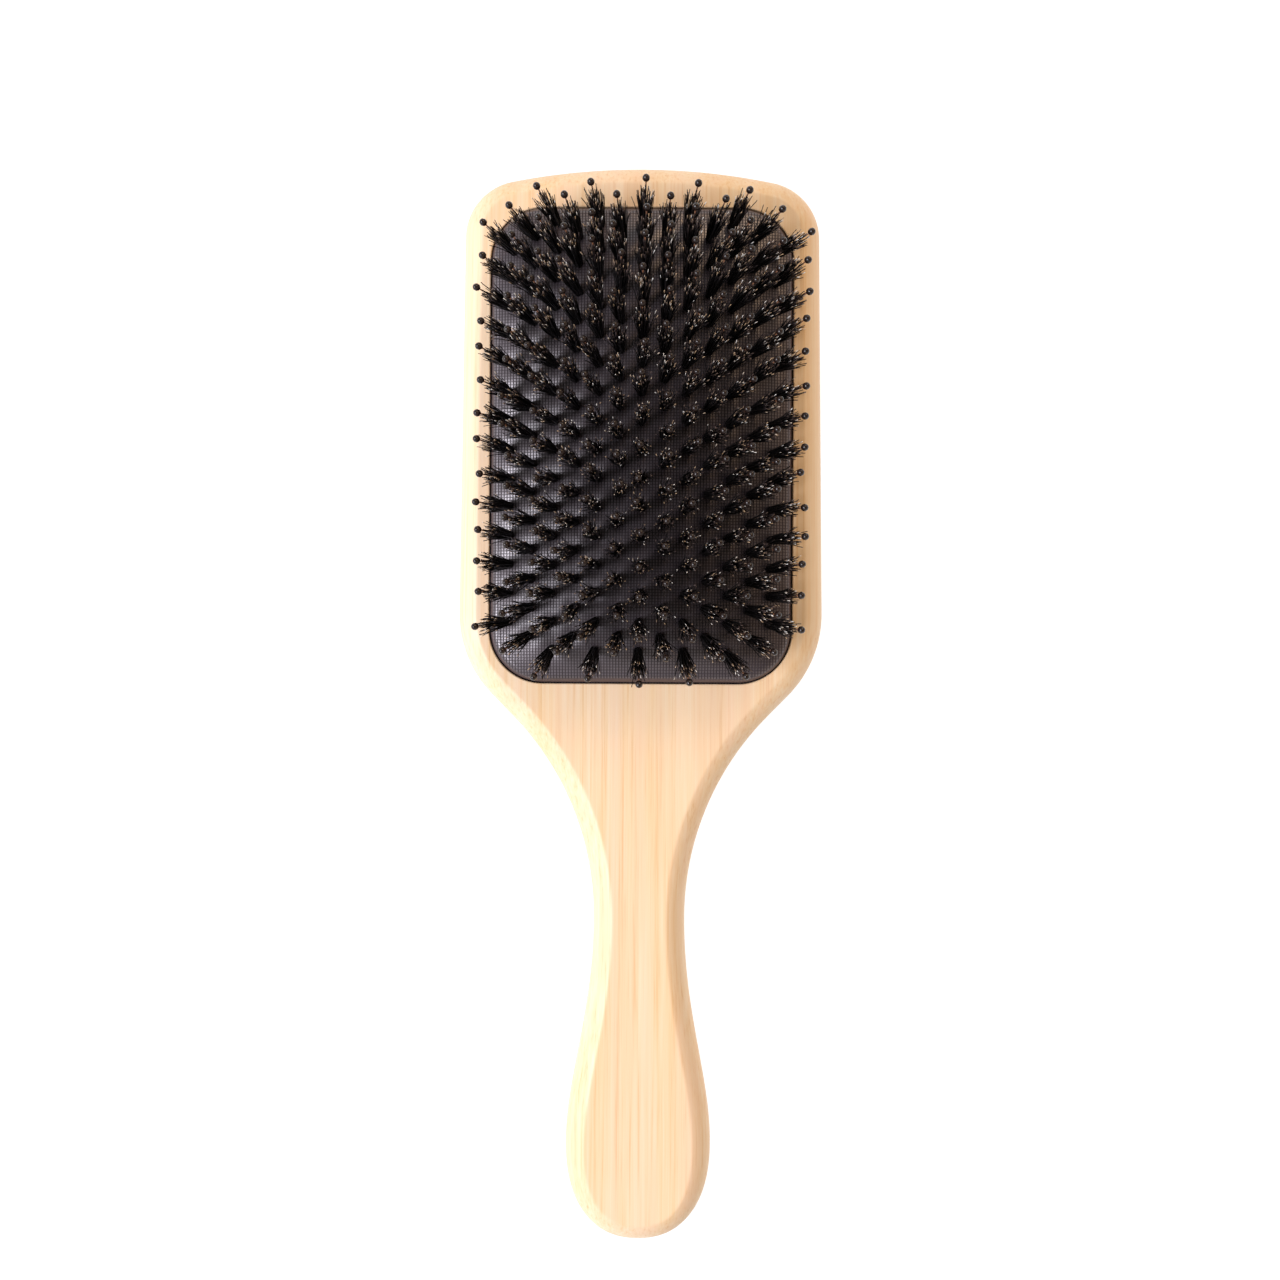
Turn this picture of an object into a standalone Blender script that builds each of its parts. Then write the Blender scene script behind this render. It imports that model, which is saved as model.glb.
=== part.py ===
"""Paddle hairbrush: a bamboo paddle with a rubber air cushion, boar tufts and ball-tipped nylon pins.

The brush lies on its back. +Z points out of the bristle face, +Y from the handle's end to the
paddle's crown. The origin is under the middle of the brush, on the surface it lies on.
Lengths below are in millimetres, and every mesh is made in metres.
"""

import math

import bmesh
import bpy
from mathutils import Vector
from mathutils.geometry import interpolate_bezier

METRE = 0.001
GAP = 0.3  # between pieces that touch

# The bamboo paddle
LENGTH = 250.0
WIDTH = 85.0
THICKNESS = 13.0
CROWN_RADIUS = 155.0
CORNER_RADIUS = 13.5
TOP_WIDTH = 82.8  # across the paddle just under its top corners
SHOULDER_Y = 21.3  # where the sides end and the shoulders begin
SHOULDER_RADIUS = 27.0
SHOULDER_ANGLE = math.radians(44.5)
NECK_RADIUS = 67.0
NECK_WIDTH = 21.2
GRIP_WIDTH = 33.8
GRIP_Y = -102.5  # the widest place of the grip
GRIP_EASE = (0.43, 0.29)  # how straight the grip runs on from the neck, and into its widest place
GRIP_STEPS = 10
GRIP_END_POWER = 2.3  # a little fuller than an ellipse
GRIP_END_STEPS = 9
EDGE_ROUND = 4.4  # how far the rounded edge reaches in over each face
EDGE_ARC = math.radians(62)  # each half of the edge is this much of an ellipse
EDGE_SHARES = (-1, -0.55, 0, 0.55, 1)  # where the edge's loops lie, in parts of that arc

# The cushion and the recess that holds it
PAD_WIDTH = 70.0
PAD_LENGTH = 110.0
PAD_CORNER = 12.5
PAD_Y = 59.8
CORNER_STEPS = 4
DOME_SIDES = (3, 5)  # how finely the dome's edge is split along its straight sides
DOME_SHARES = (0.3, 0.6, 0.8, 0.91, 1)  # the dome's loops, in parts of the way to its edge
FLOOR_Z = 5.5
GROOVE_LOW, GROOVE_HIGH = 8.5, 10.5
GROOVE_DEPTH = 1.8
SHEET = 1.2  # the rubber's thickness
RIM_WALL = 1.5
RIM_TOP = THICKNESS - 0.1
SKIRT_WIDTH = 2.0
EDGE_RISE = 1.2
CROWN_RISE = 7.0
DOME_END_POWER = 6  # the cushion is flat along its middle and drops towards its ends

# The tufts and the pins, in rows that run along the paddle
ROWS = 13
ROW_PITCH = 5.0
STEP = 6.52  # from tuft to tuft along a row
BED_Y = 61.2  # the middle of the rows, a little nearer to the crown than the cushion's
EDGE_MARGIN = 4.3  # no tuft stands nearer to the cushion's outline
SIDE_FAN = math.tan(math.radians(19.5))  # how far the outermost rows lean
SIDE_FAN_POWER = 1.15
CROWN_FAN = 0.34  # the lean towards the crown, which is reached well before the cushion's end
CROWN_FAN_REACH = 0.75
HANDLE_FAN = 1.05  # the lean towards the handle, which starts late and rises steeply
HANDLE_FAN_POWER = 6
CORNER_EASE = 0.6  # by how much less the outermost rows lean endways than the middle one
TUFT_LENGTH = 14.0
TUFT_ROOT, TUFT_TIP = 1.1, 1.4  # half widths
PIN_LENGTH = 17.7  # from the rubber to the middle of the ball
PIN_HALF = 0.3
BALL_RADIUS = 0.8
PIN_OFFSET = TUFT_TIP + GAP + PIN_HALF  # the pin stands close beside its tuft
STRIP_DEPTH = 0.8
HOLE_PLAY = 0.35


def clear_scene():
    for obj in list(bpy.data.objects):
        bpy.data.objects.remove(obj)


def material(name, colour, roughness):
    made = bpy.data.materials.new(name)
    made.use_nodes = True
    shader = made.node_tree.nodes["Principled BSDF"]
    shader.inputs["Base Color"].default_value = (*colour, 1)
    shader.inputs["Roughness"].default_value = roughness
    shader.inputs["Metallic"].default_value = 0.0
    return made


def add_object(name, bm, finish):
    bmesh.ops.recalc_face_normals(bm, faces=bm.faces)
    bmesh.ops.scale(bm, vec=(METRE, METRE, METRE), verts=bm.verts)
    mesh = bpy.data.meshes.new(name)
    bm.to_mesh(mesh)
    bm.free()
    if finish:
        mesh.materials.append(finish)
    obj = bpy.data.objects.new(name, mesh)
    bpy.context.scene.collection.objects.link(obj)
    return obj


def loft(loops, closed=False):
    """A solid skinned over loops of equally many points, capped at both ends or joined into a ring."""
    bm = bmesh.new()
    rings = [[bm.verts.new(p) for p in loop] for loop in loops]
    pairs = list(zip(rings, rings[1:]))
    if closed:
        pairs.append((rings[-1], rings[0]))
    for low, high in pairs:
        for i in range(len(low)):
            j = (i + 1) % len(low)
            bm.faces.new((low[i], low[j], high[j], high[i]))
    if not closed:
        bm.faces.new(rings[0])
        bm.faces.new(rings[-1])
    return bm


class Path:
    """A plane curve drawn as a pen moves: forward in a straight line, or round an arc."""

    def __init__(self, x, y, heading):
        self.points = [Vector((x, y))]
        self.heading = heading

    def forward(self, distance):
        step = Vector((math.cos(self.heading), math.sin(self.heading))) * distance
        self.points.append(self.points[-1] + step)

    def turn(self, radius, angle, steps):
        """Turns by the angle, which is negative to the right."""
        side = math.copysign(radius, angle)
        centre = self.points[-1] + Vector((-math.sin(self.heading), math.cos(self.heading))) * side
        for _ in range(steps):
            self.heading += angle / steps
            self.points.append(centre + Vector((math.sin(self.heading), -math.cos(self.heading))) * side)


def half_outline():
    """The paddle's right half, from the middle of the crown to the end of the grip."""
    top, widest, neck = TOP_WIDTH / 2, WIDTH / 2, NECK_WIDTH / 2
    flare = math.atan((widest - top) / (LENGTH / 2 - CORNER_RADIUS - SHOULDER_Y))
    crown = math.asin((top - CORNER_RADIUS) / (CROWN_RADIUS - CORNER_RADIUS))
    path = Path(0, LENGTH / 2, 0)
    path.turn(CROWN_RADIUS, -crown, 4)
    path.turn(CORNER_RADIUS, -(math.pi / 2 - flare - crown), 7)
    path.forward((path.points[-1].y - SHOULDER_Y) / math.cos(flare))
    path.turn(SHOULDER_RADIUS, -(flare + SHOULDER_ANGLE), 4)
    bend = NECK_RADIUS * (1 - math.cos(SHOULDER_ANGLE))
    path.forward((path.points[-1].x - bend - neck) / math.sin(SHOULDER_ANGLE))
    path.turn(NECK_RADIUS, SHOULDER_ANGLE, 7)
    start, end = path.points[-1], Vector((GRIP_WIDTH / 2, GRIP_Y))
    drop = Vector((0, end.y - start.y))
    grip = interpolate_bezier(start, start + drop * GRIP_EASE[0], end - drop * GRIP_EASE[1], end, GRIP_STEPS)
    path.points += [Vector(p[:2]) for p in grip[1:]]
    for i in range(1, GRIP_END_STEPS + 1):
        angle = math.pi / 2 * i / GRIP_END_STEPS
        across = math.cos(angle) ** (2 / GRIP_END_POWER) * GRIP_WIDTH / 2
        along = math.sin(angle) ** (2 / GRIP_END_POWER) * (LENGTH / 2 + GRIP_Y)
        path.points.append(Vector((across if i < GRIP_END_STEPS else 0, GRIP_Y - along)))
    return path.points


def paddle_outline():
    right = half_outline()
    left = [Vector((-p.x, p.y)) for p in reversed(right[1:-1])]
    return right + left


def inset(outline, distance):
    """The outline moved inwards along its own normals. It runs clockwise."""
    moved = []
    for i, p in enumerate(outline):
        along = (outline[(i + 1) % len(outline)] - outline[i - 1]).normalized()
        moved.append(p + Vector((along.y, -along.x)) * distance)
    return moved


def at_height(outline, z):
    return [Vector((p.x, p.y, z)) for p in outline]


def pad_outline(inwards, sides=(1, 1)):
    """The cushion's rounded rectangle, moved inwards. sides says into how many parts each
    crosswise side and each lengthwise side is split."""
    run_x, run_y = PAD_WIDTH / 2 - PAD_CORNER, PAD_LENGTH / 2 - PAD_CORNER
    radius = PAD_CORNER - inwards
    points = []
    for quarter, (sx, sy) in enumerate(((1, 1), (-1, 1), (-1, -1), (1, -1))):
        for i in range(CORNER_STEPS + 1):
            angle = math.pi / 2 * (quarter + i / CORNER_STEPS)
            arc = Vector((math.cos(angle), math.sin(angle))) * radius
            points.append(Vector((sx * run_x, sy * run_y + PAD_Y)) + arc)
        crosswise = quarter % 2 == 0
        parts = sides[0] if crosswise else sides[1]
        step = Vector((-2 * sx * run_x, 0)) if crosswise else Vector((0, -2 * sy * run_y))
        points += [points[-1] + step * (i / parts) for i in range(1, parts)]
    return points


def pad_height(x, y):
    """The height of the rubber's outer face above the back of the brush."""
    across = 2 * x / PAD_WIDTH
    along = 2 * (y - PAD_Y) / PAD_LENGTH
    return THICKNESS + EDGE_RISE + CROWN_RISE * (1 - across**2) * (1 - along**DOME_END_POWER)


def on_pad(outline, below=0.0):
    return [Vector((p.x, p.y, pad_height(p.x, p.y) - below)) for p in outline]


def margin(x, y):
    """How far inside the cushion's outline a point is."""
    from_x = abs(x) - (PAD_WIDTH / 2 - PAD_CORNER)
    from_y = abs(y - PAD_Y) - (PAD_LENGTH / 2 - PAD_CORNER)
    if from_x > 0 and from_y > 0:
        return PAD_CORNER - math.hypot(from_x, from_y)
    return PAD_CORNER - max(from_x, from_y)


def row_places(row):
    """The tufts of one lengthwise row, from its handle end up. Every other row is half a step on."""
    x = row * ROW_PITCH
    shift = 0.5 if row % 2 == 0 else 0.0
    most = int(PAD_LENGTH / 2 / STEP) + 1
    places = [(x, BED_Y + (k + shift) * STEP) for k in range(-most, most + 1)]
    return [(x, y) for x, y in places if margin(x, y) >= EDGE_MARGIN]


def stand(x, y):
    """The direction in which a tuft or a pin stands: the cushion fans them outwards."""
    across = x / (ROW_PITCH * (ROWS // 2))
    along = 2 * (y - PAD_Y) / PAD_LENGTH
    sideways = math.copysign(SIDE_FAN * abs(across) ** SIDE_FAN_POWER, across)
    if along > 0:
        endways = CROWN_FAN * min(along / CROWN_FAN_REACH, 1)
    else:
        endways = -HANDLE_FAN * abs(along) ** HANDLE_FAN_POWER
    endways *= 1 - CORNER_EASE * across**2
    return Vector((sideways, endways, 1)).normalized()


SQUARE = [Vector(corner) for corner in ((-1, -1), (1, -1), (1, 1), (-1, 1))]


def strip_solid(places, side, half, stages, apex):
    """A strip behind the rubber that follows one row, with a post at each place.

    side is how far the strip lies beside the row and half its half width. stages are the
    post's (distance beyond the rubber's outer face, half width) from its foot up, and apex
    is the distance of its point, or None where it ends flat.
    """
    bm = bmesh.new()
    under = SHEET + 2 * GAP
    tops, keels = [], []
    for x, y in places:
        lean = stand(x, y)
        root = Vector((x + side - lean.x / lean.z * under, y - lean.y / lean.z * under))
        around = [root + corner * half for corner in SQUARE]
        tops.append([bm.verts.new((p.x, p.y, pad_height(p.x, p.y) - under)) for p in around])
        lowest = min(v.co.z for v in tops[-1])
        keels.append(bm.verts.new((root.x, root.y, lowest - STRIP_DEPTH)))
    for top, keel in zip(tops, keels):
        bm.faces.new((top[3], top[0], keel))
        bm.faces.new((top[1], top[2], keel))
    for n in range(len(places) - 1):
        top, after = tops[n], tops[n + 1]
        bm.faces.new((top[3], top[2], after[1], after[0]))
        bm.faces.new((top[2], keels[n], keels[n + 1], after[1]))
        bm.faces.new((keels[n], top[3], after[0], keels[n + 1]))
    bm.faces.new((tops[0][0], tops[0][1], keels[0]))
    bm.faces.new((tops[-1][2], tops[-1][3], keels[-1]))
    for (x, y), ring in zip(places, tops):
        lean = stand(x, y)
        foot = Vector((x + side, y, pad_height(x + side, y)))
        for distance, spread in stages:
            centre = foot + lean * distance
            upper = [bm.verts.new(centre + corner.to_3d() * spread) for corner in SQUARE]
            for i in range(4):
                bm.faces.new((ring[i - 1], ring[i], upper[i], upper[i - 1]))
            ring = upper
        if apex is None:
            bm.faces.new(ring)
            continue
        point = bm.verts.new(foot + lean * apex)
        for i in range(4):
            bm.faces.new((ring[i - 1], ring[i], point))
    return bm


def make_paddle(finish):
    """The bamboo: rounded edges all round, and the recess with its undercut groove."""
    outline = paddle_outline()
    reach = EDGE_ROUND / (1 - math.cos(EDGE_ARC))
    rise = THICKNESS / 2 / math.sin(EDGE_ARC)
    loops = []
    for share in EDGE_SHARES:
        angle = share * EDGE_ARC
        edge = inset(outline, reach * (1 - math.cos(angle)))
        loops.append(at_height(edge, THICKNESS / 2 + rise * math.sin(angle)))
    paddle = add_object("bamboo_paddle", loft(loops), finish)
    stack = (
        (0, FLOOR_Z),
        (0, GROOVE_LOW),
        (-GROOVE_DEPTH, GROOVE_LOW),
        (-GROOVE_DEPTH, GROOVE_HIGH),
        (0, GROOVE_HIGH),
        (0, THICKNESS + 2),
    )
    recess = add_object("recess_cutter", loft([at_height(pad_outline(d), z) for d, z in stack]), None)
    cut_with(paddle, recess)
    return paddle


def cut_with(obj, cutter):
    cutter.hide_render = True
    cutter.display_type = "WIRE"
    cut = obj.modifiers.new("cut", "BOOLEAN")
    cut.operation = "DIFFERENCE"
    cut.solver = "EXACT"
    cut.object = cutter


def make_rim(finish):
    """The cushion's thick edge: a bead in the groove and a wall up to the mouth of the recess."""
    inner = GAP + RIM_WALL
    bead = GAP - GROOVE_DEPTH
    low, high = GROOVE_LOW + GAP, GROOVE_HIGH - GAP
    section = ((inner, low), (bead, low), (bead, high), (GAP, high), (GAP, RIM_TOP), (inner, RIM_TOP))
    loops = [at_height(pad_outline(d), z) for d, z in section]
    return add_object("cushion_rim", loft(loops, closed=True), finish)


def make_skirt(finish):
    """The thin band that flexes between the rim, which stays, and the dome, which gives."""
    edge = pad_outline(GAP + SKIRT_WIDTH, DOME_SIDES)
    foot = RIM_TOP + GAP
    loops = [
        at_height(pad_outline(GAP, DOME_SIDES), foot),
        on_pad(edge),
        on_pad(edge, SHEET),
        at_height(pad_outline(GAP + SHEET, DOME_SIDES), foot),
    ]
    return add_object("cushion_skirt", loft(loops, closed=True), finish)


def dome_loops(below):
    """Loops over the dome from its middle to its edge."""
    edge = pad_outline(GAP + SKIRT_WIDTH + GAP, DOME_SIDES)
    centre = Vector((0, PAD_Y))
    return [on_pad([centre + (p - centre) * share for p in edge], below) for share in DOME_SHARES]


def make_dome(finish):
    """The domed sheet of rubber, with a hole for each tuft and the pin beside it."""
    loops = dome_loops(0) + dome_loops(SHEET)[::-1]
    dome = add_object("cushion_dome", loft(loops), finish)
    bm = bmesh.new()
    for row in row_numbers():
        for x, y in row_places(row):
            add_hole(bm, x, y, pin_side(row))
    holes = add_object("hole_cutter", bm, None)
    cut_with(dome, holes)
    return dome


def add_hole(bm, x, y, side):
    """A four-sided cutter round one tuft's foot and its pin, along the way that they stand."""
    lean = stand(x, y)
    wide = (TUFT_ROOT + PIN_OFFSET + PIN_HALF) / 2 + HOLE_PLAY
    deep = TUFT_ROOT + HOLE_PLAY
    middle_x = x + side * (wide - HOLE_PLAY - TUFT_ROOT)
    foot = Vector((middle_x, y, pad_height(middle_x, y)))
    rings = []
    for distance in (-3 * SHEET, 3 * SHEET):
        middle = foot + lean * distance
        rings.append([bm.verts.new(middle + Vector((c.x * wide, c.y * deep, 0))) for c in SQUARE])
    low, high = rings
    bm.faces.new(low)
    bm.faces.new(high)
    for i in range(4):
        bm.faces.new((low[i - 1], low[i], high[i], high[i - 1]))


def row_numbers():
    return range(-(ROWS // 2), ROWS // 2 + 1)


def pin_side(row):
    """The pins stand on the side of their tufts that is nearer to the middle of the cushion."""
    return -1 if row > 0 else 1


def make_rows(bristle, nylon):
    tuft_stages = ((TUFT_LENGTH, TUFT_TIP),)
    pin_stages = ((PIN_LENGTH - BALL_RADIUS, PIN_HALF), (PIN_LENGTH, BALL_RADIUS / math.sqrt(2)))
    for number, row in enumerate(row_numbers(), start=1):
        places = row_places(row)
        side = pin_side(row) * PIN_OFFSET
        tufts = strip_solid(places, 0, TUFT_ROOT, tuft_stages, None)
        pins = strip_solid(places, side, PIN_HALF, pin_stages, PIN_LENGTH + BALL_RADIUS)
        add_object(f"tuft_row_{number:02d}", tufts, bristle)
        add_object(f"pin_row_{number:02d}", pins, nylon)


def main():
    clear_scene()
    bamboo = material("bamboo", (0.80, 0.58, 0.36), 0.45)
    rubber = material("rubber", (0.035, 0.032, 0.034), 0.6)
    bristle = material("boar_bristle", (0.02, 0.015, 0.012), 0.5)
    nylon = material("nylon", (0.015, 0.013, 0.012), 0.3)
    make_paddle(bamboo)
    make_rim(rubber)
    make_skirt(rubber)
    make_dome(rubber)
    make_rows(bristle, nylon)


main()
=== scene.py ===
import math
import random

import bmesh
import bpy
import numpy as np
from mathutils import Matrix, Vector
from mathutils.geometry import interpolate_bezier


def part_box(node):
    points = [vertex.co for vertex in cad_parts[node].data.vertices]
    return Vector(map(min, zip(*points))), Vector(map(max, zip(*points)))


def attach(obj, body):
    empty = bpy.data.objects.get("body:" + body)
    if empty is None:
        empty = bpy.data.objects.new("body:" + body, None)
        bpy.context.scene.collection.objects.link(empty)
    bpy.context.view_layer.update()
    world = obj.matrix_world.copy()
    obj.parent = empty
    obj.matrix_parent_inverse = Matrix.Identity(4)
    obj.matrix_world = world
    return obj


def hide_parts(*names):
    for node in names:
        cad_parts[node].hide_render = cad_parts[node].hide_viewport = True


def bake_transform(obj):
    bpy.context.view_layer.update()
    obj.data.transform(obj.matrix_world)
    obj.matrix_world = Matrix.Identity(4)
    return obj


# Bamboo paddle hairbrush: the finished look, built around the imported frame.
# The brush lies on its back: +Z out of the bristles, +Y towards the paddle's crown.

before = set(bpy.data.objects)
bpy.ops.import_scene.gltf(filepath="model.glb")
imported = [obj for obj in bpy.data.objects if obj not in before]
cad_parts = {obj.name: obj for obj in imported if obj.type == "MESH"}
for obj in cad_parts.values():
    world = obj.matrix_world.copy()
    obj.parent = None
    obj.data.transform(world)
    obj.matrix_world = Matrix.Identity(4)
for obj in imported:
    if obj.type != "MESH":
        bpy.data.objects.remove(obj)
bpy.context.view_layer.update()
mm = 0.001
handle, bed = "handle", "bristle_bed"
print("frame loaded,", len(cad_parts), "nodes")


# small helpers that build node graphs
class Value:
    # an output socket, so that sums on it read as plain arithmetic
    def __init__(self, tree, socket):
        self.tree = tree
        self.socket = socket

    def sum(self, operation, *values):
        node = self.tree.nodes.new("ShaderNodeMath")
        node.operation = operation
        for socket, value in zip(node.inputs, values):
            feed(self.tree, socket, value)
        return Value(self.tree, node.outputs[0])

    def __add__(self, other):
        return self.sum("ADD", self, other)

    def __rsub__(self, other):
        return self.sum("SUBTRACT", other, self)

    def __mul__(self, other):
        return self.sum("MULTIPLY", self, other)

    def __truediv__(self, other):
        return self.sum("DIVIDE", self, other)

    __radd__ = __add__
    __rmul__ = __mul__


def feed(tree, socket, value):
    if isinstance(value, Value):
        tree.links.new(value.socket, socket)
    else:
        socket.default_value = value


class Graph:
    def __init__(self, tree):
        self.tree = tree

    # one node: its type, its settings, its sockets' values or links, and the output that is wanted
    def add(self, kind, settings=None, sockets=None, output=0):
        node = self.tree.nodes.new(kind)
        for name, value in (settings or {}).items():
            if name == "stops":
                self.setStops(node.color_ramp, value)
            else:
                setattr(node, name, value)
        for key, value in (sockets or {}).items():
            feed(self.tree, node.inputs[key], value)
        return Value(self.tree, node.outputs[output])

    def setStops(self, ramp, stops):
        for _ in range(len(stops) - len(ramp.elements)):
            ramp.elements.new(0.5)
        for element, (place, value) in zip(ramp.elements, stops):
            element.position = place
            element.color = value if isinstance(value, tuple) else (value, value, value, 1)

    def noise(self, place, scale, detail=2.0, roughness=0.5):
        return self.add("ShaderNodeTexNoise", None,
                        {"Vector": place, "Scale": scale, "Detail": detail, "Roughness": roughness})

    def ramp(self, factor, *stops):
        return self.add("ShaderNodeValToRGB", {"stops": stops}, {"Fac": factor})

    def rise(self, factor, span, top=1):
        # 0 below the span, and the top value above it
        return self.ramp(factor, (span[0], 0), (span[1], top))

    def mix(self, factor, first, second):
        return self.add("ShaderNodeMix", {"data_type": "RGBA"}, {0: factor, 6: first, 7: second}, 2)

    def stretched(self, place, factors):
        return self.add("ShaderNodeVectorMath", {"operation": "MULTIPLY"}, {0: place, 1: factors})

    def bump(self, height, distance, strength):
        return self.add("ShaderNodeBump", None,
                        {"Height": height, "Distance": distance, "Strength": strength})


class Finish(Graph):
    # a material whose shader takes constants at once and links afterwards
    def __init__(self, name, constants):
        self.material = bpy.data.materials.new(name)
        self.material.use_nodes = True
        super().__init__(self.material.node_tree)
        self.shader = self.tree.nodes["Principled BSDF"]
        self.give(constants)

    def give(self, sockets):
        for name, value in sockets.items():
            feed(self.tree, self.shader.inputs[name], value)

    def place(self):
        return self.add("ShaderNodeTexCoord", None, None, 3)

    def attribute(self, name):
        return self.add("ShaderNodeAttribute", {"attribute_name": name}, None, 2)


def shade(red, green, blue):
    # a screen colour, 0 to 255, as the linear colour that a shader takes
    def linear(value):
        value = value / 255
        return value / 12.92 if value <= 0.04045 else ((value + 0.055) / 1.055) ** 2.4
    return (linear(red), linear(green), linear(blue), 1)


# the finishes: each look's values, and the material made from them
bambooLook = {
    "pale": shade(244, 220, 188),
    "warm": shade(238, 201, 152),
    "pink": shade(241, 204, 170),
    "deep": shade(206, 154, 104),
    "bandScale": 120,  # broad tones some millimetres wide
    "blushScale": 276,
    "streakScale": 1500,
    "fibreScale": 5200,
    "alongGrain": 0.012,  # how much the figure is drawn out along the brush
    "toneSpan": (0.38, 0.64),  # the parts of the noises that the colours turn over
    "blushSpan": (0.45, 0.7),
    "figureSpan": (0.55, 0.7),
    "pinkMost": 0.5,
    "deepShare": 0.35,
    "specular": 0.4,
    "roughness": 0.4,
    "roughnessSpread": 0.12,
    "fibreDepth": 0.03 * mm,
    "bumpStrength": 0.5,
}


def bambooFinish(look):
    finish = Finish("bambooSatin", {"Specular IOR Level": look["specular"]})
    place = finish.place()
    along = look["alongGrain"]
    band = finish.noise(finish.stretched(place, (1, along * 2, 0.6)), look["bandScale"])
    blush = finish.noise(finish.stretched(place, (1, along * 3, 1)), look["blushScale"], 1)
    streak = finish.noise(finish.stretched(place, (1, along, 1)), look["streakScale"], 3, 0.65)
    fibre = finish.noise(finish.stretched(place, (1, along * 2, 1)), look["fibreScale"], 2, 0.6)
    tone = finish.rise(band * 0.4 + streak * 0.6, look["toneSpan"])
    figure = finish.rise(streak * 0.75 + fibre * 0.25, look["figureSpan"])
    colour = finish.mix(tone, look["pale"], look["warm"])
    colour = finish.mix(finish.rise(blush, look["blushSpan"], look["pinkMost"]), colour, look["pink"])
    colour = finish.mix(figure * look["deepShare"], colour, look["deep"])
    finish.give({
        "Base Color": colour,
        "Roughness": look["roughness"] + fibre * look["roughnessSpread"],
        "Normal": finish.bump(fibre * 0.7 + streak * 0.3, look["fibreDepth"], look["bumpStrength"]),
    })
    return finish.material


rubberLook = {
    "colour": shade(41, 33, 40),
    "worn": shade(53, 43, 50),
    # the furrows' colour: painted shade in the weave's grooves
    "shadedFurrow": shade(14, 11, 13),
    "sheen": (1, 0.84, 0.88, 1),
    "weavePitch": 0.68 * mm,
    "weaveDepth": 0.045 * mm,
    "lengthwiseFurrow": ((0.05, 1), (0.5, 0)),  # from a furrow's floor to the flat between two
    "crosswiseFurrow": ((0.05, 0.75), (0.4, 0)),
    "wovenSlope": (0.5, 0.75),  # the rolled edge, steeper than this, is plain and matt
    "bumpStrength": 0.6,
    "mottleScale": 260,
    "specular": 1.0,
    "roughness": 0.4,
    "roughnessSpread": 0.1,
    "furrowRoughness": 0.45,  # what a furrow adds
    "coatRoughness": 0.38,
    "coatIor": 1.7,
}


def rubberFinish(look):
    # a fine woven emboss: furrows both ways, the lengthwise ones a little deeper, with painted shade
    # darkening the furrows' colour
    finish = Finish("blackRubber", {
        "Specular IOR Level": look["specular"],
        "Specular Tint": look["sheen"],
        "Coat Roughness": look["coatRoughness"],
        "Coat IOR": look["coatIor"],
    })
    place = finish.place()
    turns = 2 * math.pi / look["weavePitch"]
    x = finish.add("ShaderNodeSeparateXYZ", None, {0: place}, 0) * turns
    y = finish.add("ShaderNodeSeparateXYZ", None, {0: place}, 1) * turns
    lengthwise = finish.ramp(x.sum("SINE", x) * 0.5 + 0.5, *look["lengthwiseFurrow"])
    crosswise = finish.ramp(y.sum("SINE", y) * 0.5 + 0.5, *look["crosswiseFurrow"])
    facing = finish.add("ShaderNodeNewGeometry", None, None, 1)
    upwards = finish.add("ShaderNodeSeparateXYZ", None, {0: facing}, 2)
    woven = finish.rise(upwards, look["wovenSlope"])
    shadedFurrow = lengthwise.sum("MAXIMUM", lengthwise, crosswise) * woven
    mottle = finish.noise(place, look["mottleScale"], 3)
    colour = finish.mix(mottle, look["colour"], look["worn"])
    finish.give({
        # the furrows are painted darker, as shade in the grooves
        "Base Color": finish.mix(shadedFurrow, colour, look["shadedFurrow"]),
        "Roughness": look["roughness"] + mottle * look["roughnessSpread"] + shadedFurrow * look["furrowRoughness"],
        "Coat Weight": (1 - shadedFurrow) * woven,
        "Normal": finish.bump(1 - shadedFurrow, look["weaveDepth"], look["bumpStrength"]),
    })
    return finish.material


bristleLook = {
    "root": shade(20, 17, 17),
    "tipToneAndGlint": (  # a hair end's colour, from the dark hairs to the pale ones: partly the hair's own tone, partly painted glints of light on the cut ends
        (0.0, shade(26, 21, 22)),
        (0.48, shade(58, 49, 51)),
        (0.7, shade(124, 106, 100)),
        (0.84, shade(214, 182, 144)),
        (0.95, shade(255, 252, 246)),
    ),
    "tipGlintSpan": (0.88, 0.96),  # the shares of the hair's length over which its end gains its tone and painted glint
    "specular": 0.5,
    "roughness": 0.36,
    "roughnessSpread": 0.2,
}


def bristleFinish(look):
    finish = Finish("boarBristle", {"Specular IOR Level": look["specular"]})
    hairTone = finish.attribute("hairTone")
    # the pale hair ends are partly painted glints, light caught on the cut ends
    glintedTip = finish.rise(finish.attribute("alongHair"), look["tipGlintSpan"])
    finish.give({
        "Base Color": finish.mix(glintedTip, look["root"], finish.ramp(hairTone, *look["tipToneAndGlint"])),
        "Roughness": look["roughness"] + hairTone * look["roughnessSpread"],
    })
    return finish.material


nylonLook = {
    "stem": shade(34, 26, 24),
    "neck": shade(118, 78, 54),  # the bare stem over the hairs
    "neckSpan": (0.84, 0.89),  # the shares of the pin's length over which it begins
    "ball": shade(30, 19, 16),
    "ballSpan": (0.91, 0.93),
    "cloudScale": 900,
    "specular": 0.45,
    "roughness": 0.14,
    "roughnessSpread": 0.08,
}


def nylonFinish(look):
    finish = Finish("darkNylon", {"Specular IOR Level": look["specular"]})
    along = finish.attribute("alongPin")
    below, above = look["neckSpan"]
    stem = finish.ramp(along, (below, look["stem"]), (above, look["neck"]))
    atBall = finish.rise(along, look["ballSpan"])
    cloud = finish.noise(finish.place(), look["cloudScale"])
    finish.give({
        "Base Color": finish.mix(atBall, stem, look["ball"]),
        "Roughness": look["roughness"] + cloud * look["roughnessSpread"],
    })
    return finish.material


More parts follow.
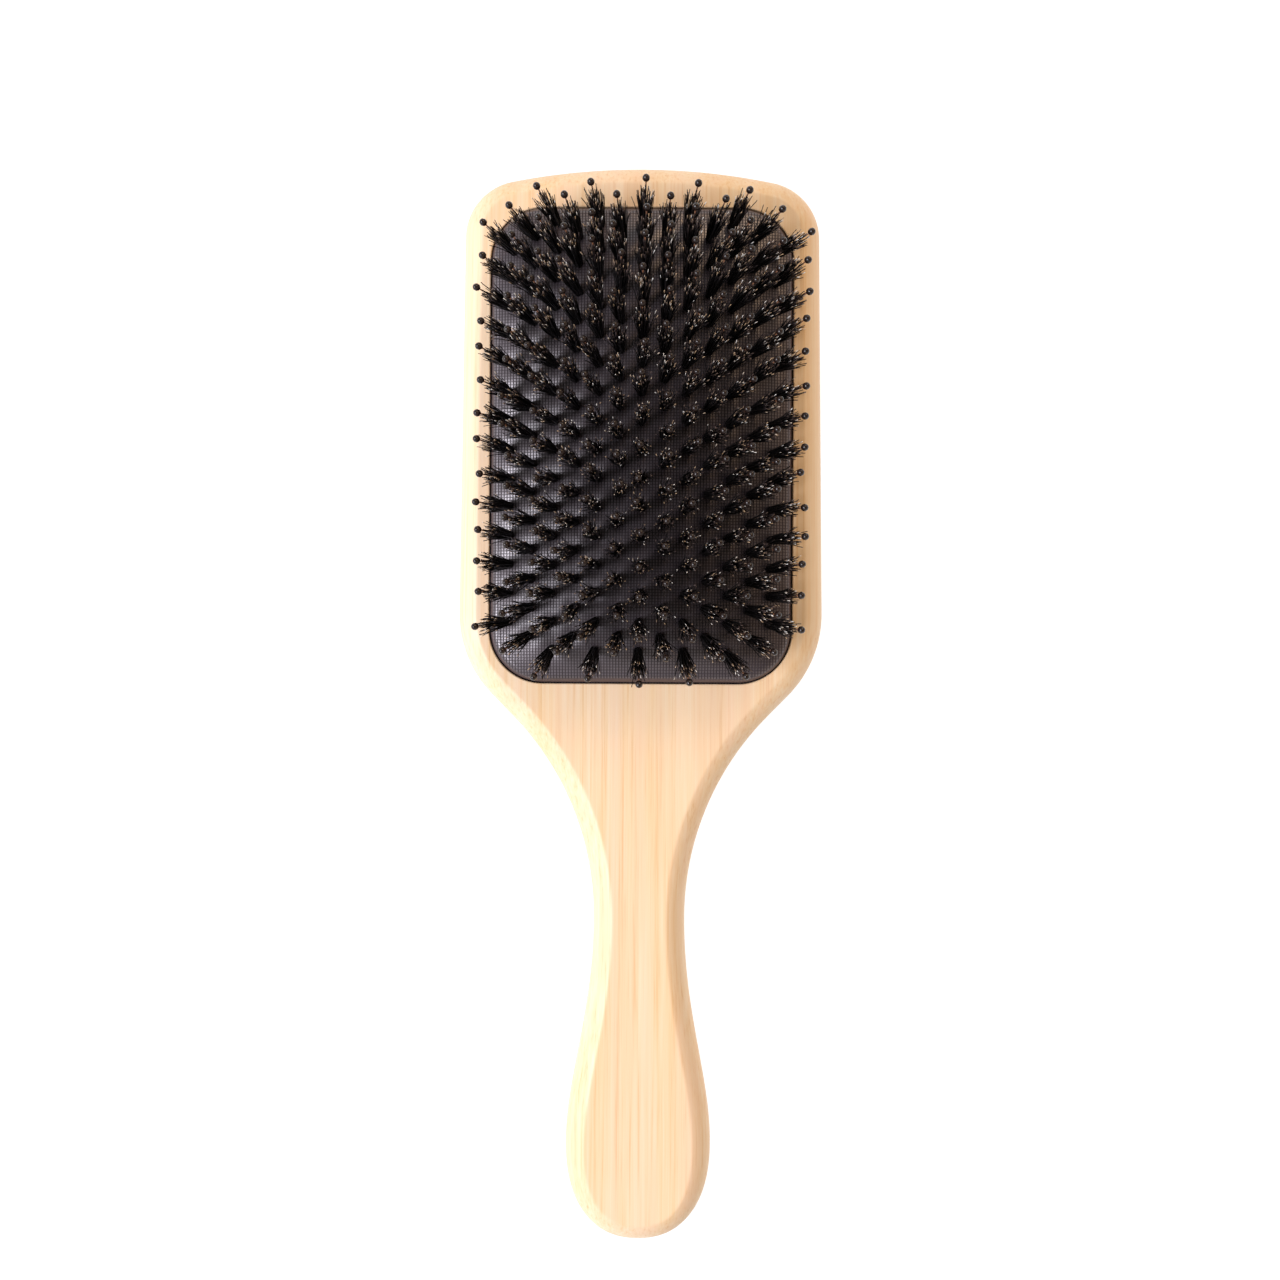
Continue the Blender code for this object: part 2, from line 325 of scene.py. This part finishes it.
bamboo = bambooFinish(bambooLook)
rubber = rubberFinish(rubberLook)
bristle = bristleFinish(bristleLook)
nylon = nylonFinish(nylonLook)
print("finishes made")


# small helpers that build meshes
def asPiece(name, bm, material, sharpAngle):
    bmesh.ops.recalc_face_normals(bm, faces=bm.faces)
    mesh = bpy.data.meshes.new(name)
    bm.to_mesh(mesh)
    bm.free()
    mesh.materials.append(material)
    mesh.shade_smooth()
    mesh.set_sharp_from_angle(angle=math.radians(sharpAngle))
    piece = bpy.data.objects.new(name, mesh)
    bpy.context.scene.collection.objects.link(piece)
    return piece


def addLoop(bm, points):
    return [bm.verts.new(p) for p in points]


def skin(bm, first, second):
    for i in range(len(first)):
        bm.faces.new((first[i - 1], first[i], second[i], second[i - 1]))


def edgesOf(bm, loop):
    return [bm.edges.get((loop[i - 1], loop[i])) for i in range(len(loop))]


# the cushion's outline and dome, which the recess, the rubber and the bristles share
padLow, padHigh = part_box("cushion_skirt")
pad = {
    "gap": 0.3 * mm,  # between the rubber and the wall of the recess
    "corner": 12.5 * mm,
    "sheet": 1.2 * mm,
    "skirt": 2.6 * mm,  # from the recess's edge to where the dome begins
    "edgeRise": 1.2 * mm,
    "crownRise": 7.0 * mm,
    "endPower": 6,
    "cell": 0.8 * mm,  # the dome's mesh
    "lip": 0.6 * mm,  # how far below the wood's face the rubber meets the seam
    "bead": 1.5 * mm,
    "rimWall": 1.8 * mm,
    "beadLow": 8.8 * mm,
    "beadHigh": 10.2 * mm,
    "pucker": 0.5 * mm,  # how deep the rubber is drawn in at a tuft
    "puckerReach": 1.9 * mm,
    "rollSteps": 8,
    "flexLow": 0.1 * mm,  # over the seam, where the rubber begins to give
    "flexHigh": 2.6 * mm,  # over the wood's face, where it moves in full
    "creaseAngle": 40,
}
halfX = (padHigh.x - padLow.x) / 2 + pad["gap"]
halfY = (padHigh.y - padLow.y) / 2 + pad["gap"]
padMiddle = (padHigh.y + padLow.y) / 2
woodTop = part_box("bamboo_paddle")[1].z


def padHeight(x, y):
    across = x / halfX
    along = (y - padMiddle) / halfY
    return woodTop + pad["edgeRise"] + pad["crownRise"] * (1 - across**2) * (1 - along ** pad["endPower"])


def roundedPlace(u, v, inwards):
    # u and v run from -1 to 1, and their square is drawn onto the rounded rectangle
    radius = pad["corner"] - inwards
    flatX, flatY = halfX - pad["corner"], halfY - pad["corner"]
    x, y = u * (flatX + radius), v * (flatY + radius)
    a, b = (abs(x) - flatX) / radius, (abs(y) - flatY) / radius
    if a > 0 and b > 0:
        x = math.copysign(flatX + radius * a * math.sqrt(1 - b * b / 2), x)
        y = math.copysign(flatY + radius * b * math.sqrt(1 - a * a / 2), y)
    return x, y + padMiddle


cellsX = round(2 * halfX / pad["cell"])
cellsY = round(2 * halfY / pad["cell"])


def borderSteps():
    # once round the grid's border, anticlockwise from its lowest corner
    for i in range(cellsX):
        yield i, 0
    for j in range(cellsY):
        yield cellsX, j
    for i in range(cellsX, 0, -1):
        yield i, cellsY
    for j in range(cellsY, 0, -1):
        yield 0, j


def padLoop(inwards, z):
    places = [roundedPlace(2 * i / cellsX - 1, 2 * j / cellsY - 1, inwards) for i, j in borderSteps()]
    return [(x, y, z) for x, y in places]


# the tufts' places, in rows that run along the paddle
bedPlan = {
    "rows": 13,
    "rowPitch": 5.0 * mm,
    "step": 6.52 * mm,
    "offset": 1.4 * mm,  # the rows' middle, from the cushion's middle towards the crown
    "edgeMargin": 4.3 * mm,
    "sideFan": math.tan(math.radians(19.5)),
    "sideFanPower": 1.15,
    "crownFan": 0.34,
    "crownFanReach": 0.75,
    "handleFan": 1.05,
    "handleFanPower": 6,
    "cornerEase": 0.6,
    "turn": math.radians(0.6),  # the rows stand a little out of true, as they come from the mould
    "stray": 0.14 * mm,  # how far a tuft may stand off its place
    "leanStray": 0.03,
    "seed": 7,
}


def padMargin(x, y):
    fromX = abs(x) - (halfX - pad["corner"])
    fromY = abs(y - padMiddle) - (halfY - pad["corner"])
    if fromX > 0 and fromY > 0:
        return pad["corner"] - math.hypot(fromX, fromY)
    return pad["corner"] - max(fromX, fromY)


def rowPlaces(row):
    x = row * bedPlan["rowPitch"]
    shift = 0.5 if row % 2 == 0 else 0.0
    most = int(halfY / bedPlan["step"]) + 1
    middle = padMiddle + bedPlan["offset"]
    ys = [middle + (k + shift) * bedPlan["step"] for k in range(-most, most + 1)]
    return [(x, y) for y in ys if padMargin(x, y) >= bedPlan["edgeMargin"]]


def standing(x, y):
    across = x / (bedPlan["rowPitch"] * (bedPlan["rows"] // 2))
    along = (y - padMiddle) / halfY
    sideways = math.copysign(bedPlan["sideFan"] * abs(across) ** bedPlan["sideFanPower"], across)
    if along > 0:
        endways = bedPlan["crownFan"] * min(along / bedPlan["crownFanReach"], 1)
    else:
        endways = -bedPlan["handleFan"] * abs(along) ** bedPlan["handleFanPower"]
    return Vector((sideways, endways * (1 - bedPlan["cornerEase"] * across**2), 1))


def rowRoots(row, rng):
    # each tuft of a row: its place on the rubber, and the way it stands
    roots = []
    for x, y in rowPlaces(row):
        lean = standing(x, y)
        turn = bedPlan["turn"]
        x, y = x + turn * (y - padMiddle), y - turn * x
        x += rng.uniform(-1, 1) * bedPlan["stray"]
        y += rng.uniform(-1, 1) * bedPlan["stray"]
        lean.x += rng.gauss(0, bedPlan["leanStray"])
        lean.y += rng.gauss(0, bedPlan["leanStray"])
        roots.append((Vector((x, y, padHeight(x, y))), lean.normalized()))
    return roots


rng = random.Random(bedPlan["seed"])
rowNumbers = range(-(bedPlan["rows"] // 2), bedPlan["rows"] // 2 + 1)
allRows = [rowRoots(row, rng) for row in rowNumbers]
print("tufts placed:", sum(len(row) for row in allRows))


# the bamboo paddle, rounded along every edge, with a recess and a groove for the rubber
paddle = {
    "crownRadius": 155 * mm,
    "cornerRadius": 13.5 * mm,
    "topWidth": 82.8 * mm,
    "shoulderY": 21.3 * mm,
    "shoulderRadius": 27 * mm,
    "shoulderAngle": math.radians(44.5),
    "neckRadius": 67 * mm,
    "neckWidth": 21.2 * mm,
    "gripWidth": 33.8 * mm,
    "gripY": -102.5 * mm,
    "gripEndPower": 2.3,
    "gripPulls": (0.43, 0.29),  # how far the side's curve holds its direction, at the neck and at the grip
    "edgeRound": 4.0 * mm,
    "edgeArc": math.radians(62),
    "softWidth": 0.7 * mm,  # the small easing where the rounded edge meets the face
    "softRise": 0.16 * mm,
    "flatBand": 0.1 * mm,  # beside each rounding, so that the face is shaded flat
    "mouthRound": 0.3 * mm,
    "grooveDepth": 1.8 * mm,
    "grooveLow": 8.5 * mm,
    "grooveHigh": 10.5 * mm,
    "floor": 5.5 * mm,
    "arcSteps": {"crown": 16, "corner": 24, "shoulder": 16, "neck": 24, "grip": 40, "end": 36},
    "edgeSteps": {"arc": 7, "soft": 3, "mouth": 3},
    "creaseAngle": 32,
}


class Pen:
    def __init__(self, x, y, heading):
        self.points = [Vector((x, y))]
        self.heading = heading

    def forward(self, distance):
        step = Vector((math.cos(self.heading), math.sin(self.heading))) * distance
        self.points.append(self.points[-1] + step)

    def turn(self, radius, angle, steps):
        side = math.copysign(radius, angle)
        middle = self.points[-1] + Vector((-math.sin(self.heading), math.cos(self.heading))) * side
        for _ in range(steps):
            self.heading += angle / steps
            self.points.append(middle + Vector((math.sin(self.heading), -math.cos(self.heading))) * side)


def paddleOutline(size):
    low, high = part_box("bamboo_paddle")
    top, widest, neck = size["topWidth"] / 2, high.x, size["neckWidth"] / 2
    corner, crownRadius, angle = size["cornerRadius"], size["crownRadius"], size["shoulderAngle"]
    flare = math.atan((widest - top) / (high.y - corner - size["shoulderY"]))
    crown = math.asin((top - corner) / (crownRadius - corner))
    steps = size["arcSteps"]
    pen = Pen(0, high.y, 0)
    pen.turn(crownRadius, -crown, steps["crown"])
    pen.turn(corner, -(math.pi / 2 - flare - crown), steps["corner"])
    pen.forward((pen.points[-1].y - size["shoulderY"]) / math.cos(flare))
    pen.turn(size["shoulderRadius"], -(flare + angle), steps["shoulder"])
    bend = size["neckRadius"] * (1 - math.cos(angle))
    pen.forward((pen.points[-1].x - bend - neck) / math.sin(angle))
    pen.turn(size["neckRadius"], angle, steps["neck"])
    start, end = pen.points[-1], Vector((size["gripWidth"] / 2, size["gripY"]))
    drop = Vector((0, end.y - start.y))
    leave, arrive = size["gripPulls"]
    grip = interpolate_bezier(start, start + drop * leave, end - drop * arrive, end, steps["grip"])
    right = pen.points + [Vector(p[:2]) for p in grip[1:]]
    for i in range(1, steps["end"] + 1):
        turned = math.pi / 2 * i / steps["end"]
        across = max(math.cos(turned), 0) ** (2 / size["gripEndPower"]) * end.x
        along = math.sin(turned) ** (2 / size["gripEndPower"]) * (end.y - low.y)
        right.append(Vector((across if i < steps["end"] else 0, end.y - along)))
    left = [Vector((-p.x, p.y)) for p in reversed(right[1:-1])]
    return right + left


def movedIn(outline, distance):
    moved = []
    for i, p in enumerate(outline):
        along = (outline[(i + 1) % len(outline)] - outline[i - 1]).normalized()
        moved.append(p + Vector((along.y, -along.x)) * distance)
    return moved


def edgeSection(size, thickness):
    # the rounded edge from the back to the face: (how far in, height)
    half = thickness / 2
    reach = size["edgeRound"] / (1 - math.cos(size["edgeArc"]))
    rise = (half - size["softRise"]) / math.sin(size["edgeArc"])
    steps = size["edgeSteps"]
    upper = []
    for i in range(steps["arc"] + 1):
        turned = size["edgeArc"] * i / steps["arc"]
        upper.append((reach * (1 - math.cos(turned)), rise * math.sin(turned)))
    for i in range(1, steps["soft"] + 1):
        share = i / steps["soft"]
        upper.append((size["edgeRound"] + size["softWidth"] * share,
                      half - size["softRise"] * (1 - share) ** 2))
    upper.append((upper[-1][0] + size["flatBand"], half))
    lower = [(inwards, -z) for inwards, z in reversed(upper[1:])]
    return [(inwards, half + z) for inwards, z in lower + upper]


def makePaddle(size):
    bm = bmesh.new()
    outline = paddleOutline(size)
    loops = []
    for inwards, z in edgeSection(size, woodTop):
        loops.append(addLoop(bm, [(p.x, p.y, z) for p in movedIn(outline, inwards)]))
    for first, second in zip(loops, loops[1:]):
        skin(bm, first, second)
    bm.faces.new(loops[0])
    mouth, mouthSteps = size["mouthRound"], size["edgeSteps"]["mouth"]
    section = [(-mouth - size["flatBand"], woodTop)]
    for i in range(mouthSteps + 1):
        turned = math.radians(90 * i / mouthSteps)
        section.append((-mouth * (1 - math.sin(turned)), woodTop - mouth * (1 - math.cos(turned))))
    section += [
        (0, size["grooveHigh"]),
        (-size["grooveDepth"], size["grooveHigh"]),
        (-size["grooveDepth"], size["grooveLow"]),
        (0, size["grooveLow"]),
        (0, size["floor"]),
    ]
    recess = [addLoop(bm, padLoop(inwards, z)) for inwards, z in section]
    for first, second in zip(recess, recess[1:]):
        skin(bm, first, second)
    bm.faces.new(recess[-1])
    face = edgesOf(bm, loops[-1]) + edgesOf(bm, recess[0])
    bmesh.ops.triangle_fill(bm, use_beauty=True, use_dissolve=False, edges=face)
    return asPiece("paddle", bm, bamboo, size["creaseAngle"])


paddlePiece = makePaddle(paddle)
print("paddle made:", len(paddlePiece.data.polygons), "faces")


# the rubber cushion, one moulding from its bead to its dome
def puckers(points):
    # how far the rubber is drawn in at each point of the dome
    roots = np.array([root[:2] for row in allRows for root, _ in row])
    away = np.linalg.norm(points[:, None, :] - roots[None, :, :], axis=2)
    return pad["pucker"] * np.exp(-((away / pad["puckerReach"]) ** 2)).sum(axis=1)


def domeGrid(bm, below, drawn):
    places = [roundedPlace(2 * i / cellsX - 1, 2 * j / cellsY - 1, pad["skirt"])
              for j in range(cellsY + 1) for i in range(cellsX + 1)]
    sunk = puckers(np.array(places)) if drawn else np.zeros(len(places))
    rows = []
    for j in range(cellsY + 1):
        row = []
        for i in range(cellsX + 1):
            n = j * (cellsX + 1) + i
            x, y = places[n]
            row.append(bm.verts.new((x, y, padHeight(x, y) - below - sunk[n])))
        rows.append(row)
    for j in range(cellsY):
        for i in range(cellsX):
            bm.faces.new((rows[j][i], rows[j][i + 1], rows[j + 1][i + 1], rows[j + 1][i]))
    return [rows[j][i] for i, j in borderSteps()]


def makeCushion():
    bm = bmesh.new()
    edge = domeGrid(bm, 0, True)
    seam = woodTop - pad["lip"]
    last = edge
    for k in range(1, pad["rollSteps"] + 1):
        turned = math.pi / 2 * k / pad["rollSteps"]
        inwards = pad["gap"] + (pad["skirt"] - pad["gap"]) * (1 - math.sin(turned))
        loop = []
        for (x, y, _), top in zip(padLoop(inwards, 0), edge):
            loop.append((x, y, seam + (top.co.z - seam) * math.cos(turned)))
        following = addLoop(bm, loop)
        skin(bm, last, following)
        last = following
    section = (
        (pad["gap"], pad["beadHigh"]),
        (-pad["bead"], pad["beadHigh"]),
        (-pad["bead"], pad["beadLow"]),
        (pad["rimWall"], pad["beadLow"]),
        (pad["rimWall"], seam),
    )
    for inwards, z in section:
        following = addLoop(bm, padLoop(inwards, z))
        skin(bm, last, following)
        last = following
    under = domeGrid(bm, pad["sheet"], False)
    skin(bm, last, under)
    return asPiece("cushion", bm, rubber, pad["creaseAngle"])


cushionPiece = makeCushion()
print("cushion made:", len(cushionPiece.data.polygons), "faces")


# boar tufts and ball-tipped pins, made by geometry nodes on a row's roots
hair = {
    "Hairs": 68,
    "Root Radius": 1.05 * mm,
    "Splay": 0.075,
    "Length": 13.2 * mm,
    "Thickness": 0.145 * mm,
}
hairShape = {
    "sunk": 1.0 * mm,  # below the rubber's face
    "bends": (0.1 * mm, 0.5 * mm, 1.1 * mm),
    "bendAt": 0.55,  # of the length
    "steps": 4,
    "sides": 3,
    "taper": 0.75,
    "shortest": 0.82,  # of the full length
    "wander": 0.055,
}
pin = {
    "Length": 17.7 * mm,
    "Stem Radius": 0.27 * mm,
    "Ball Radius": 0.85 * mm,
}
pinShape = {
    "sunk": 1.0 * mm,
    "topShare": 0.55,  # how thick the stem is at its top, of its radius below
    "sides": 7,
    "steps": 3,
    "ballSegments": 10,
    "ballRings": 7,
    "ballStretch": 1.2,
}


def newTree(name, inputs):
    tree = bpy.data.node_groups.new(name, "GeometryNodeTree")
    tree.interface.new_socket("Geometry", in_out="INPUT", socket_type="NodeSocketGeometry")
    for label, kind in inputs:
        tree.interface.new_socket(label, in_out="INPUT", socket_type=kind)
    tree.interface.new_socket("Geometry", in_out="OUTPUT", socket_type="NodeSocketGeometry")
    graph = Graph(tree)
    source = tree.nodes.new("NodeGroupInput")
    sockets = {socket.name: Value(tree, socket) for socket in source.outputs if socket.name}
    return graph, sockets


def randomFloat(graph, low, high, seed):
    return graph.add("FunctionNodeRandomValue", {"data_type": "FLOAT"}, {2: low, 3: high, "Seed": seed}, 1)


def storeFloat(graph, geometry, domain, name, value):
    return graph.add("GeometryNodeStoreNamedAttribute", {"data_type": "FLOAT", "domain": domain},
                     {"Geometry": geometry, "Name": name, "Value": value})


def aimed(graph, direction, seed):
    # turned so that +Z runs along the direction, and spun about it at random
    aim = graph.add("FunctionNodeAlignRotationToVector", {"axis": "Z"}, {"Vector": direction})
    spin = graph.add("FunctionNodeAxisAngleToRotation", None,
                     {"Axis": (0, 0, 1), "Angle": randomFloat(graph, 0, 2 * math.pi, seed)})
    return graph.add("FunctionNodeRotateRotation", {"rotation_space": "LOCAL"}, {0: aim, 1: spin})


def vectorSum(graph, *vectors):
    total = vectors[0]
    for vector in vectors[1:]:
        total = graph.add("ShaderNodeVectorMath", {"operation": "ADD"}, {0: total, 1: vector})
    return total


def scaled(graph, vector, factor):
    return graph.add("ShaderNodeVectorMath", {"operation": "SCALE"}, {0: vector, "Scale": factor})


def endTree(graph, geometry, finish):
    whole = graph.add("GeometryNodeRealizeInstances", None, {"Geometry": geometry})
    smooth = graph.add("GeometryNodeSetShadeSmooth", None, {"Geometry": whole})
    dressed = graph.add("GeometryNodeSetMaterial", None, {"Geometry": smooth, "Material": finish})
    output = graph.tree.nodes.new("NodeGroupOutput")
    graph.tree.links.new(dressed.socket, output.inputs[0])
    return graph.tree


def hairVariant(graph, given, bend):
    start = (0, 0, -hairShape["sunk"])
    middle = graph.add("ShaderNodeCombineXYZ", None, {"Z": given["Length"] * hairShape["bendAt"]})
    end = graph.add("ShaderNodeCombineXYZ", None, {"X": bend, "Z": given["Length"]})
    curve = graph.add("GeometryNodeCurveQuadraticBezier", None,
                      {"Resolution": hairShape["steps"], "Start": start, "Middle": middle, "End": end})
    factor = graph.add("GeometryNodeSplineParameter")
    curve = storeFloat(graph, curve, "POINT", "alongHair", factor)
    ring = graph.add("GeometryNodeCurvePrimitiveCircle", None,
                     {"Resolution": hairShape["sides"], "Radius": given["Thickness"]})
    return graph.add("GeometryNodeCurveToMesh", None,
                     {"Curve": curve, "Profile Curve": ring, "Scale": 1 - factor * (1 - hairShape["taper"]),
                      "Fill Caps": True})


def tuftTree():
    graph, given = newTree("tuftOfHairs", (
        ("Hairs", "NodeSocketInt"),
        ("Root Radius", "NodeSocketFloat"),
        ("Splay", "NodeSocketFloat"),
        ("Length", "NodeSocketFloat"),
        ("Thickness", "NodeSocketFloat"),
        ("Seed", "NodeSocketInt"),
        ("Finish", "NodeSocketMaterial"),
    ))
    seed = given["Seed"]
    roots = graph.add("GeometryNodeDuplicateElements", {"domain": "POINT"},
                      {"Geometry": given["Geometry"], "Amount": given["Hairs"]})
    angle = randomFloat(graph, 0, 2 * math.pi, seed)
    reach = randomFloat(graph, 0, 1, seed + 1)
    reach = reach.sum("SQRT", reach)
    outwards = graph.add("ShaderNodeCombineXYZ", None, {
        "X": reach * angle.sum("COSINE", angle),
        "Y": reach * angle.sum("SINE", angle),
    })
    placed = graph.add("GeometryNodeSetPosition", None,
                       {"Geometry": roots, "Offset": scaled(graph, outwards, given["Root Radius"])})
    lean = graph.add("GeometryNodeInputNamedAttribute", {"data_type": "FLOAT_VECTOR"}, {"Name": "lean"})
    wander = hairShape["wander"]
    stray = graph.add("FunctionNodeRandomValue", {"data_type": "FLOAT_VECTOR"},
                      {0: (-wander,) * 3, 1: (wander,) * 3, "Seed": seed + 2})
    direction = vectorSum(graph, lean, scaled(graph, outwards, given["Splay"]), stray)
    kinds = graph.tree.nodes.new("GeometryNodeJoinGeometry")
    for bend in hairShape["bends"]:
        one = hairVariant(graph, given, bend)
        variant = graph.add("GeometryNodeGeometryToInstance", None, {"Geometry": one})
        graph.tree.links.new(variant.socket, kinds.inputs[0])
    choice = graph.add("FunctionNodeRandomValue", {"data_type": "INT"},
                       {4: 0, 5: len(hairShape["bends"]) - 1, "Seed": seed + 3}, 2)
    hairs = graph.add("GeometryNodeInstanceOnPoints", None, {
        "Points": placed,
        "Instance": Value(graph.tree, kinds.outputs[0]),
        "Pick Instance": True,
        "Instance Index": choice,
        "Rotation": aimed(graph, direction, seed + 4),
        "Scale": randomFloat(graph, hairShape["shortest"], 1, seed + 5),
    })
    hairs = storeFloat(graph, hairs, "INSTANCE", "hairTone", randomFloat(graph, 0, 1, seed + 6))
    return endTree(graph, hairs, given["Finish"])


def pinTree():
    graph, given = newTree("ballTippedPin", (
        ("Length", "NodeSocketFloat"),
        ("Stem Radius", "NodeSocketFloat"),
        ("Ball Radius", "NodeSocketFloat"),
        ("Seed", "NodeSocketInt"),
        ("Finish", "NodeSocketMaterial"),
    ))
    length = given["Length"]
    stem = graph.add("GeometryNodeMeshCone", None, {
        "Vertices": pinShape["sides"],
        "Side Segments": pinShape["steps"],
        "Radius Top": given["Stem Radius"] * pinShape["topShare"],
        "Radius Bottom": given["Stem Radius"],
        "Depth": length + pinShape["sunk"],
    })
    below = (0, 0, -pinShape["sunk"])
    stem = graph.add("GeometryNodeTransform", None, {"Geometry": stem, "Translation": below})
    ball = graph.add("GeometryNodeMeshUVSphere", None, {
        "Segments": pinShape["ballSegments"],
        "Rings": pinShape["ballRings"],
        "Radius": given["Ball Radius"],
    })
    top = graph.add("ShaderNodeCombineXYZ", None, {"Z": length})
    ball = graph.add("GeometryNodeTransform", None,
                     {"Geometry": ball, "Translation": top, "Scale": (1, 1, pinShape["ballStretch"])})
    both = graph.tree.nodes.new("GeometryNodeJoinGeometry")
    graph.tree.links.new(stem.socket, both.inputs[0])
    graph.tree.links.new(ball.socket, both.inputs[0])
    place = graph.add("GeometryNodeInputPosition")
    height = graph.add("ShaderNodeSeparateXYZ", None, {0: place}, 2)
    whole = storeFloat(graph, Value(graph.tree, both.outputs[0]), "POINT", "alongPin", height / length)
    lean = graph.add("GeometryNodeInputNamedAttribute", {"data_type": "FLOAT_VECTOR"}, {"Name": "lean"})
    pins = graph.add("GeometryNodeInstanceOnPoints", None, {
        "Points": given["Geometry"],
        "Instance": whole,
        "Rotation": aimed(graph, lean, given["Seed"]),
    })
    return endTree(graph, pins, given["Finish"])


def rootPoints(name, roots):
    mesh = bpy.data.meshes.new(name)
    mesh.from_pydata([place for place, _ in roots], [], [])
    lean = mesh.attributes.new("lean", "FLOAT_VECTOR", "POINT")
    lean.data.foreach_set("vector", [value for _, direction in roots for value in direction])
    return mesh


def grown(name, roots, tree, values):
    # runs the tree on the roots and keeps what it makes as a plain mesh
    source = bpy.data.objects.new(name + "_roots", rootPoints(name + "_roots", roots))
    bpy.context.scene.collection.objects.link(source)
    modifier = source.modifiers.new("grow", "NODES")
    modifier.node_group = tree
    for item in tree.interface.items_tree:
        if item.in_out == "INPUT" and item.name in values:
            modifier[item.identifier] = values[item.name]
    bpy.context.view_layer.update()
    evaluated = source.evaluated_get(bpy.context.evaluated_depsgraph_get())
    mesh = bpy.data.meshes.new_from_object(evaluated)
    mesh.name = name
    bpy.data.objects.remove(source)
    piece = bpy.data.objects.new(name, mesh)
    bpy.context.scene.collection.objects.link(piece)
    return piece


hairTree, needleTree = tuftTree(), pinTree()
tuftPieces, pinPieces = [], []
for number, roots in enumerate(allRows, start=1):
    tuftValues = {**hair, "Seed": 100 * number, "Finish": bristle}
    tuftPieces.append(grown(f"tufts_{number:02d}", roots, hairTree, tuftValues))
    pinValues = {**pin, "Seed": number, "Finish": nylon}
    pinPieces.append(grown(f"pins_{number:02d}", roots, needleTree, pinValues))
print("tufts and pins made:", sum(len(p.data.polygons) for p in tuftPieces + pinPieces), "faces")


# what each piece moves with and stands for
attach(paddlePiece, handle)
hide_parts("bamboo_paddle")

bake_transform(cushionPiece)
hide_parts("cushion_rim", "cushion_skirt", "cushion_dome")

for number, (tuftPiece, pinPiece) in enumerate(zip(tuftPieces, pinPieces), start=1):
    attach(tuftPiece, bed)
    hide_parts(f"tuft_row_{number:02d}")
    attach(pinPiece, bed)
    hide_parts(f"pin_row_{number:02d}")
print("pieces joined to the frame")


# floor, light and camera
studio = {
    "floorSize": 6.0,
    "floorShade": (0.2, 0.21, 0.22, 1),
    "floorRoughness": 0.9,
    "floorSpecular": 0.1,
    "floorGlow": 0.96,
    "skyStrength": 0.72,
    "skyTop": 0.09,  # the strength straight overhead
    "skyHeights": (0.72, 0.92),  # between which it fades
    "skyWarm": (0.82, 0.63, 0.47, 1),  # the tint of the side away from the key
    "skyWarmSpan": (0, 0.5),  # how far towards that side it comes in
    "aim": (0, 0.03, 0.01),
    "keyTint": (0.91, 0.91, 1),
    "keyPlace": (-0.66, -0.15, 0.71),
    "keySize": 0.4,
    "keyPower": 9.7,
    "fillTint": (1, 0.72, 0.46),
    "fillPlace": (0.32, 0.68, 0.65),
    "fillSize": 0.35,
    "fillPower": 2.6,
}
view = {
    "x": -0.11 * mm,
    "y": 14.9 * mm,
    "distance": 0.42,  # above the middle of the wood
    "width": 0.3002,  # what the picture takes in at that height
    "roll": math.radians(0.3),
    "sensor": 36,
    "clipStart": 0.01,
}


def makeFloor():
    half = studio["floorSize"] / 2
    mesh = bpy.data.meshes.new("floor")
    corners = [(-half, -half, 0), (half, -half, 0), (half, half, 0), (-half, half, 0)]
    mesh.from_pydata(corners, [], [(0, 1, 2, 3)])
    floor = bpy.data.objects.new("floor", mesh)
    bpy.context.scene.collection.objects.link(floor)
    finish = Finish("paleFloor", {
        "Base Color": studio["floorShade"],
        "Roughness": studio["floorRoughness"],
        "Specular IOR Level": studio["floorSpecular"],
        "Emission Color": (1, 1, 1, 1),
        "Emission Strength": studio["floorGlow"],
    })
    mesh.materials.append(finish.material)


def makeLight(name):
    lamp = bpy.data.lights.new(name, "AREA")
    lamp.size = studio[name + "Size"]
    lamp.energy = studio[name + "Power"]
    lamp.color = studio[name + "Tint"]
    light = bpy.data.objects.new(name, lamp)
    light.location = studio[name + "Place"]
    aim = Vector(studio["aim"]) - Vector(studio[name + "Place"])
    light.rotation_euler = aim.to_track_quat("-Z", "Y").to_euler()
    bpy.context.scene.collection.objects.link(light)


def makeSky():
    # white on the key's side, warm on the other, and darker overhead, so that dark pieces keep their depth
    world = bpy.data.worlds.new("studioSky")
    world.use_nodes = True
    graph = Graph(world.node_tree)
    place = graph.add("ShaderNodeTexCoord")
    height = graph.add("ShaderNodeSeparateXYZ", None, {0: place}, 2)
    low, high = studio["skyHeights"]
    strength = graph.ramp(height, (low, studio["skyStrength"]), (high, studio["skyTop"]))
    sideways = graph.add("ShaderNodeSeparateXYZ", None, {0: place}, 0)
    tint = graph.mix(graph.rise(sideways, studio["skyWarmSpan"]), (1, 1, 1, 1), studio["skyWarm"])
    background = world.node_tree.nodes["Background"]
    feed(world.node_tree, background.inputs["Color"], tint)
    feed(world.node_tree, background.inputs["Strength"], strength)
    bpy.context.scene.world = world


def makeCamera():
    lens = bpy.data.cameras.new("camera")
    lens.sensor_width = view["sensor"]
    lens.lens = view["sensor"] * view["distance"] / view["width"]
    lens.clip_start = view["clipStart"]
    camera = bpy.data.objects.new("camera", lens)
    camera.location = (view["x"], view["y"], view["distance"] + woodTop / 2)
    camera.rotation_euler = (0, 0, view["roll"])
    bpy.context.scene.collection.objects.link(camera)
    bpy.context.scene.camera = camera


makeFloor()
for name in ("key", "fill"):
    makeLight(name)
makeSky()
makeCamera()
bpy.context.scene.view_settings.view_transform = "Standard"
print("floor, light and camera set")
